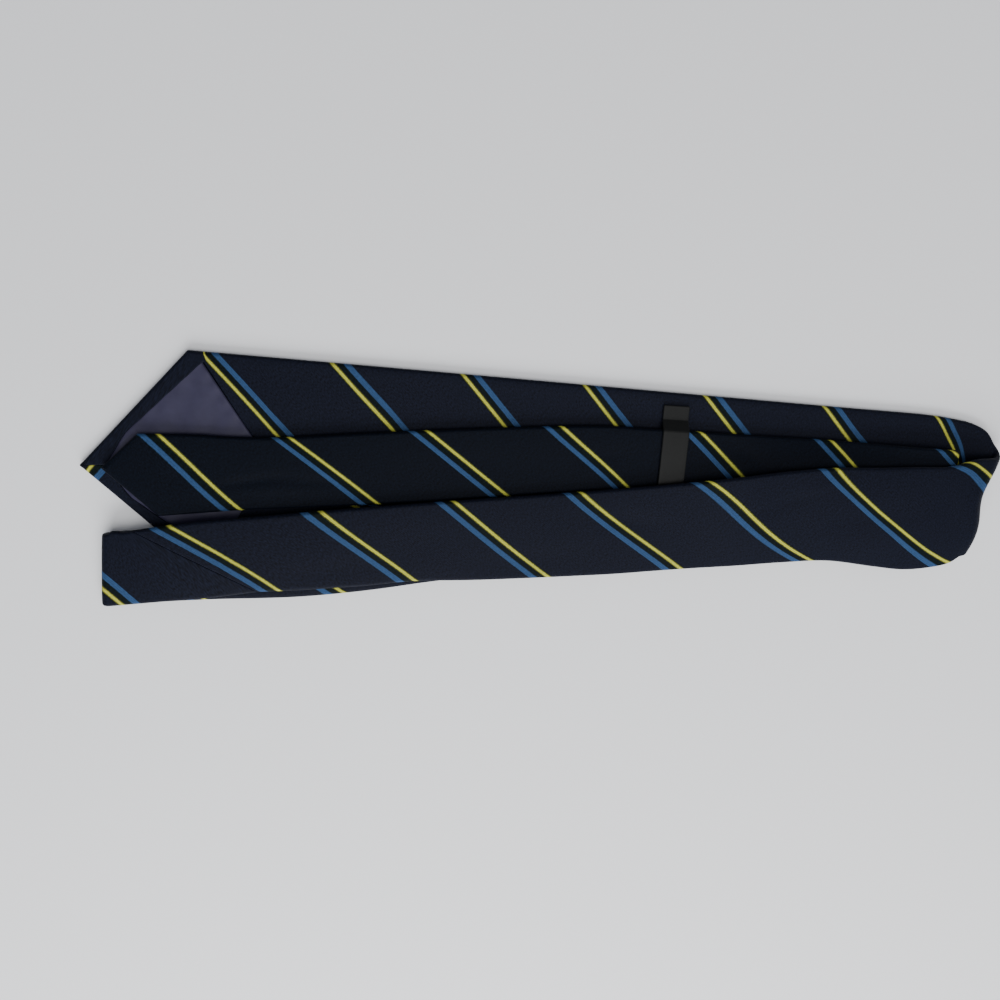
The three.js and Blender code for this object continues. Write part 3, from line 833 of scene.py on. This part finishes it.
def dyed(tree, shader, dye, weave, noise, weave_shade, noise_shade, least_shade, least_rough):
    """Dye shaded by the threads and the noise, and gloss that follows the noise."""
    uneven = math_node(tree, "ADD", math_node(tree, "MULTIPLY", noise, noise_shade), least_shade)
    shade = math_node(tree, "ADD", math_node(tree, "MULTIPLY", weave, weave_shade), uneven)
    rough = math_node(tree, "ADD", math_node(tree, "MULTIPLY", noise, 0.2), least_rough)
    tree.links.new(shaded(tree, dye, shade), shader.inputs["Base Color"])
    tree.links.new(rough, shader.inputs["Roughness"])


def lining_material():
    material, tree, shader = cloth_material("tipping_lining", 0.2, 0.04)
    weave, noise = plain_weave(tree, "lining", LINING_THREADS, (0.25, 0.25), 9.0, 6.0)
    dyed(tree, shader, LINING_DYE, weave, noise, 0.2, 0.4, 0.78, 0.32)
    thread_relief(tree, shader, weave, 0.3, 0.00005)
    return material


lining.data.materials.append(lining_material())
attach(lining, "root")
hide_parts("wide_tipping")

# Neck band: the narrow middle piece, of the same silk and interlining, joined to the wide blade at a
# slanted seam. It turns under at the left end and runs on with its back up, between the wide blade's
# two layers, to the second slanted seam.
NECK_THICKNESS = 2.4
NECK_OVER = [
    [17.45, 30.6, 60.8, 4.6, 6.6, 7.15, 6.6],
    [14, 30.1, 42.5, 3.1, 6.2, 6.65, 6.45],
    [11.5, 30.4, 26, 2.3, 5.8, 5.75, 5.5],
    [9.5, 30.3, 13, 1.6, 5.6, 5.2, 4.75],
    [8.2, 29.3, 4.7, 1.2, 5.5, 5, 4.5],
]
NECK_UNDER = [
    [8.2, 29.3, 4.7, 1.2, 2.8, 2.3, 1.8],
    [14, 29.8, 14, 1, 3.3, 2.7, 2.1],
    [24, 29.8, 24, 1.4, 4.15, 3.5, 2.7],
    [41, 29.8, 41, 1.6, 4.15, 4.2, 3.5],
    [75, 29.6, 75, 0.8, 4.15, 4.2, 3.6],
    [98, 30.5, 102, 2, 4.15, 4.2, 3.6],
    [116, 31.8, 126, 4.2, 4.15, 4.15, 3.7],
    [134, 33, 154, 6, 4.15, 4.15, 3.7],
    [150.5, 33.3, 186.5, 6.5, 4.15, 4.15, 3.8],
]
neck_over, neck_under = leg(NECK_OVER), leg(NECK_UNDER)
neck_strip = Strip([neck_over, fold(neck_over[-1], neck_under[0], -1), neck_under], even_spacing,
                   eased=(0, 1), soft=0.9)
# where the yellow lines cross the lower edge: one above and two below the left fold, and the others by
# their distance from these. Number 1.5 is no line, and keeps the blue one close at the fold.
NECK_LINE_ABOVE = 11.3
NECK_LINES_BELOW = [41.0, 93.5]
NECK_NUMBERS = [0, 1, 1.5, 2, 3, 4, 5, 6, 7]
NECK_LEAN = 28.0
neck_low = float(neck_strip.on_leg(0, NECK_LINE_ABOVE, 1.0))
neck_below = list(neck_strip.on_leg(2, NECK_LINES_BELOW, 1.0))
neck_lows = np.array([neck_low - 112, neck_low - 56, neck_low - 23, neck_low] + neck_below
                     + [neck_below[-1] + 52, neck_below[-1] + 104, neck_below[-1] + 156])
turn_low = float(np.interp(neck_strip.joints[0], neck_strip.place, neck_strip.s_low))
turn_up = float(np.interp(neck_strip.joints[0], neck_strip.place, neck_strip.s_up))
neck_ups = neck_lows - turn_low + turn_up + NECK_LEAN
neck_lines = np.column_stack([neck_ups * (1 - share) + neck_lows * share for share in LINE_SHARES])


def plain_valley(i, width):
    return 0.5 + SEAM_HALF / width, 0.5 - SEAM_HALF / width, SEAM_SINK, SEAM_LAP


neck_band = silk_tube("neck_band_silk", neck_strip, NECK_THICKNESS, plain_valley, (0.5, 0.5),
                      line_phases(neck_lines, NECK_NUMBERS))
neck_band.data.materials.append(wide_silk)
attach(neck_band, "root")
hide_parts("neck_band")

# Narrow blade: the tie's tail, of the same silk and interlining. It comes from the second seam, turns
# over at the inner right fold, and runs back with its front up, through the keeper loop, to its point.
TAIL_Z = BLADE_THICKNESS + 0.3 + NECK_THICKNESS / 2
TAIL_UNDER = [
    [151.1, 33.3, 187.1, 6.5, 4.15, 4.15, 3.8],
    [170, 33.4, 194, 6.5, 4.15, 4.15, 3.8],
    [190, 33.3, 203, 6.4, 4.15, 4.15, 3.8],
    [212, 32.6, 216, 6.3, 4.15, 4.15, 3.8],
    [232, 32.1, 232, 6.3, 4.15, 4.15, 3.8],
    [250, 32, 250, 6.3, 4.15, 4.15, 3.8],
    [270, 34, 270, 8.2, 4.15, 4.15, 3.8],
    [290, 39, 290, 12.6, 4.15, 4.15, 4],
    [313, 44.5, 313, 17.8, 4.15, 4.15, 4.15],
    [335, 48.8, 333, 22, 4.15, 4.15, 4.15],
    [344, 50, 341, 23.2, TAIL_Z, TAIL_Z, TAIL_Z],
]
TAIL_OVER = [
    [344, 50, 341, 23.2, 6.8, 6.8, 6.8],
    [330, 51.4, 328, 24.4, 6.6, 6.85, 6.85],
    [313, 53.2, 313, 26.3, 5.5, 6.85, 6.9],
    [289, 55.7, 289, 28.8, 4.4, 6.5, 6.95],
    [270, 57.4, 270, 30.5, 4.15, 5.85, 7.05],
    [256, 58.6, 256, 31.8, TAIL_Z, 5.1, 6.95],
    [246, 59.5, 246, 32.9, TAIL_Z, 4.4, 6],
    [236, 60.5, 236, 33.9, TAIL_Z, 4.15, 4.7],
] + level([
    [229.6, 61, 229, 34.6],
    [212, 62.6, 211, 36.4],
    [195, 64, 193, 38],
    [170, 64.4, 169, 37.6],
    [130, 64.2, 130, 36.5],
    [100, 63.7, 100, 36.1],
    [69, 63.1, 69, 36],
    [54.5, 63.8, 54.5, 36],
    [41, 65, 41, 35.5],
    [22, 65.8, 26.2, 35],
], TAIL_Z)
NARROW_POINT = level([
    [22, 65.8, 26.2, 35],
    [8.2, 53.9, 8.4, 53.3],
], TAIL_Z)
tail_under, tail_over = leg(TAIL_UNDER), leg(TAIL_OVER)
narrow_strip = Strip([tail_under, fold(tail_under[-1], tail_over[0], 1), tail_over,
                      straight_leg(NARROW_POINT)[1:]], even_spacing, eased=(0, 1))
# where each yellow line crosses five shares of the front's width
TAIL_STRIPES = [
    (0, [-22.0, -15.5, -7.5, -0.5, 6.0]),
    (1, [30.5, 36.1, 43.3, 49.7, 55.6]),
    (2, [76.5, 83.1, 91.8, 99.8, 106.6]),
    (3, [127.4, 134.0, 142.2, 150.2, 156.7]),
    (4, [179.0, 185.0, 192.8, 200.7, 206.8]),
    (5, [235.0, 241.2, 248.7, 255.6, 261.2]),
    (6, [289.9, 295.6, 303.0, 310.4, 316.4]),
    (7, [342.3, 348.5, 356.5, 364.0, 370.0]),
]
# lines on the hidden layer, evenly spaced
TAIL_STRIPES += [(8 + n, [x + 51 * n for x in (393.0, 399.5, 407.5, 415.0, 421.0)]) for n in range(5)]
TAIL_HOLLOWS = [
    (60, 47, 12, 2.0, 6, 0.28), (84, 46, 14, 2.4, -4, 0.2), (72, 43.5, 14, 2.0, 0, -0.12),
    (150, 50, 30, 6, 0, 0.12), (196, 52, 10, 3, 8, 0.18), (255, 50, 9, 3, -30, 0.2),
    (300, 45, 8, 4, 30, 0.18), (322, 46, 9, 3, 20, 0.2), (36, 50, 7, 4, 20, 0.12),
]


def tail_part(strip):
    return strip.joints[1] + 2, strip.place[-1]


tail_phases = line_phases(laid_out(narrow_strip, 2, TAIL_STRIPES), [row[0] for row in TAIL_STRIPES],
                          point_from=narrow_strip.joints[2])
narrow_blade = silk_tube("narrow_blade_silk", narrow_strip, NECK_THICKNESS, plain_valley, (0.5, 0),
                         tail_phases, [blade_dents(TAIL_HOLLOWS, tail_part, -1)])
# painted shade: the narrow blade's ground is the wide blade's navy silk made darker all over, as shade that
# falls on it
NAVY_WITH_PAINTED_SHADE = linear(7, 11, 20)
narrow_silk = silk_material("navy_silk_narrow_painted_shade", NAVY_WITH_PAINTED_SHADE, (0.8, 0.45), 0.55, 0.045)
narrow_blade.data.materials.append(narrow_silk)
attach(narrow_blade, "root")
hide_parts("narrow_blade")

# Keeper loop: a strap of black satin ribbon across the back of the wide blade that holds the tail. Its
# ends are turned under and sewn down, and the narrow blade slips through it.
LOOP_WIDTH = 10.6
LOOP_CENTRE = (222.9, 48.4)
LOOP_TURN = math.radians(-4.9)
LOOP_THICKNESS = 0.8
LOOP_CLEARANCE = 0.3
LOOP_BULGE, LOOP_WAVE, LOOP_EDGE_DIP, LOOP_ROUND = 0.16, 0.05, 0.10, 0.22
LOOP_CELLS = (110, 22)
SATIN_DYE = linear(17, 18, 18)
SATIN_THREADS = (0.38, 0.22)
LOOP_REACH_UP = 61.8 - NECK_THICKNESS / 2 - LOOP_CENTRE[1]
LOOP_REACH_LOW = 35.15 + NECK_THICKNESS / 2 - LOOP_CENTRE[1]
LOOP_FOOT = (65.0 - LOOP_CENTRE[1], 71.0 - LOOP_CENTRE[1])
LOOP_SEAT = BLADE_THICKNESS + LOOP_CLEARANCE
LOOP_INNER = NECK_THICKNESS / 2 + LOOP_CLEARANCE


def loop_path():
    """Underside of the strap, from the end of its foot over the tail and down its far side."""
    path = [(LOOP_FOOT[1], LOOP_SEAT), (LOOP_FOOT[0] + 1.5, LOOP_SEAT),
            (LOOP_FOOT[0] + 0.2, LOOP_SEAT + 0.06)]
    for angle in np.linspace(45, 90, 8):
        a = math.radians(angle)
        path.append((LOOP_REACH_UP + LOOP_INNER * math.cos(a), TAIL_Z + LOOP_INNER * math.sin(a)))
    for share in np.linspace(0, 1, 12)[1:-1]:
        bulge = LOOP_BULGE * math.sin(math.pi * share)
        path.append((LOOP_REACH_UP + (LOOP_REACH_LOW - LOOP_REACH_UP) * share, TAIL_Z + LOOP_INNER + bulge))
    for angle in np.linspace(90, 180, 12):
        a = math.radians(angle)
        path.append((LOOP_REACH_LOW + LOOP_INNER * math.cos(a), TAIL_Z + LOOP_INNER * math.sin(a)))
    path.append((LOOP_REACH_LOW - LOOP_INNER, LOOP_SEAT))
    return np.array(path)


def keeper_strap():
    path = loop_path()
    steps = np.concatenate([[0.0], np.cumsum(np.linalg.norm(np.diff(path, axis=0), axis=1))])
    length = steps[-1]
    bm = bmesh.new()
    bmesh.ops.create_grid(bm, x_segments=LOOP_CELLS[0], y_segments=LOOP_CELLS[1], size=1)
    layer = bm.loops.layers.uv.new("satin")
    places = {}
    for vertex in bm.verts:
        a, b = (vertex.co.x + 1) / 2 * length, vertex.co.y
        y, z = (np.interp(a, steps, path[:, c]) for c in (0, 1))
        edge_dip = LOOP_EDGE_DIP * abs(b) ** 6
        wave = LOOP_WAVE * math.sin(a * 0.45 + b * 1.3)
        over = 1.0 if z > TAIL_Z + 0.8 else 0.0
        places[vertex] = (a, b * LOOP_WIDTH / 2)
        vertex.co = Vector((b * LOOP_WIDTH / 2, y, z + (wave * 0.5 + 0.05 - edge_dip * 0.5) * over))
    for face in bm.faces:
        face.smooth = True
        for loop in face.loops:
            a, b = places[loop.vert]
            loop[layer].uv = (a / STRIPE_PITCH, b / STRIPE_PITCH)
    bmesh.ops.recalc_face_normals(bm, faces=bm.faces)
    top = max(bm.faces, key=lambda face: face.calc_center_median().z)
    if top.normal.z > 0:
        bmesh.ops.reverse_faces(bm, faces=bm.faces)
    bmesh.ops.solidify(bm, geom=bm.faces, thickness=LOOP_THICKNESS)
    bmesh.ops.recalc_face_normals(bm, faces=bm.faces)
    sharp = [edge for edge in bm.edges if edge.calc_face_angle(0) > math.radians(60)]
    bmesh.ops.bevel(bm, geom=sharp, offset=LOOP_ROUND, offset_type="OFFSET", segments=2, profile=0.5,
                    affect="EDGES", material=-1, clamp_overlap=True)
    for face in bm.faces:
        face.smooth = True
    bmesh.ops.rotate(bm, verts=bm.verts, cent=(0, 0, 0), matrix=Matrix.Rotation(LOOP_TURN, 3, "Z"))
    bmesh.ops.translate(bm, verts=bm.verts, vec=Vector((*LOOP_CENTRE, 0)) - Vector(CORNER))
    bmesh.ops.scale(bm, verts=bm.verts, vec=(MM, MM, MM))
    return finished(bm, "keeper_loop_strap"), length


keeper, keeper_length = keeper_strap()


def satin_material():
    material, tree, shader = cloth_material("black_satin", 0.12, 0.015)
    weave, noise = plain_weave(tree, "satin", SATIN_THREADS, (0.35, 0.15), 60.0, 4.0)
    dyed(tree, shader, SATIN_DYE, weave, noise, 0.25, 0.6, 0.7, 0.3)
    thread_relief(tree, shader, weave, 0.35, 0.00006)
    return material


keeper.data.materials.append(satin_material())
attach(keeper, "root")
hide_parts("keeper_loop")

# Studio: a plain pale floor, a broad soft lamp low on the near side and another overhead, and a camera
# nearly above the tie.
FLOOR_HALF = 3
FLOOR_PAINT = (0.78, 0.785, 0.80, 1)
ROOM_TINT, ROOM_LIGHT = (0.9, 0.93, 1.0, 1), 0.35

floor_bm = bmesh.new()
bmesh.ops.create_grid(floor_bm, x_segments=1, y_segments=1, size=FLOOR_HALF)
floor = finished(floor_bm, "floor")
floor_material = bpy.data.materials.new("pale_floor")
floor_material.use_nodes = True
floor_shader = floor_material.node_tree.nodes["Principled BSDF"]
floor_shader.inputs["Base Color"].default_value = FLOOR_PAINT
floor_shader.inputs["Roughness"].default_value = 0.7
floor.data.materials.append(floor_material)


def soft_lamp(name, place, size, watts, tint):
    """A broad lamp turned towards the middle of the tie."""
    data = bpy.data.lights.new(name, "AREA")
    data.shape = "RECTANGLE"
    data.size, data.size_y = size
    data.energy = watts
    data.color = tint
    lamp = bpy.data.objects.new(name, data)
    lamp.location = place
    lamp.rotation_euler = (-Vector(place)).to_track_quat("-Z", "Y").to_euler()
    bpy.context.collection.objects.link(lamp)


soft_lamp("window", (-0.15, -0.95, 0.5), (1.0, 0.5), 18, (0.98, 0.99, 1.0))
soft_lamp("ceiling", (0.2, -0.35, 1.2), (1.2, 1.0), 12.5, (1.0, 0.99, 0.98))
world = bpy.data.worlds.new("room")
world.use_nodes = True
world.node_tree.nodes["Background"].inputs[0].default_value = ROOM_TINT
world.node_tree.nodes["Background"].inputs[1].default_value = ROOM_LIGHT
bpy.context.scene.world = world

# the camera's place and the directions to its right, upwards and behind it
CAMERA_PLACE = (-0.06342, 0.04662, 0.28937)
CAMERA_RIGHT = (0.99237, -0.01480, 0.12243)
CAMERA_UP = (0.03870, 0.97999, -0.19523)
CAMERA_BACK = (-0.11709, 0.19848, 0.97309)
camera_data = bpy.data.cameras.new("camera")
camera_data.lens = 27
camera_data.sensor_width = 36
camera_data.clip_start = 0.01
camera = bpy.data.objects.new("camera", camera_data)
turned = Matrix((CAMERA_RIGHT, CAMERA_UP, CAMERA_BACK)).transposed()
camera.matrix_world = Matrix.Translation(CAMERA_PLACE) @ turned.to_4x4()
bpy.context.collection.objects.link(camera)
bpy.context.scene.camera = camera
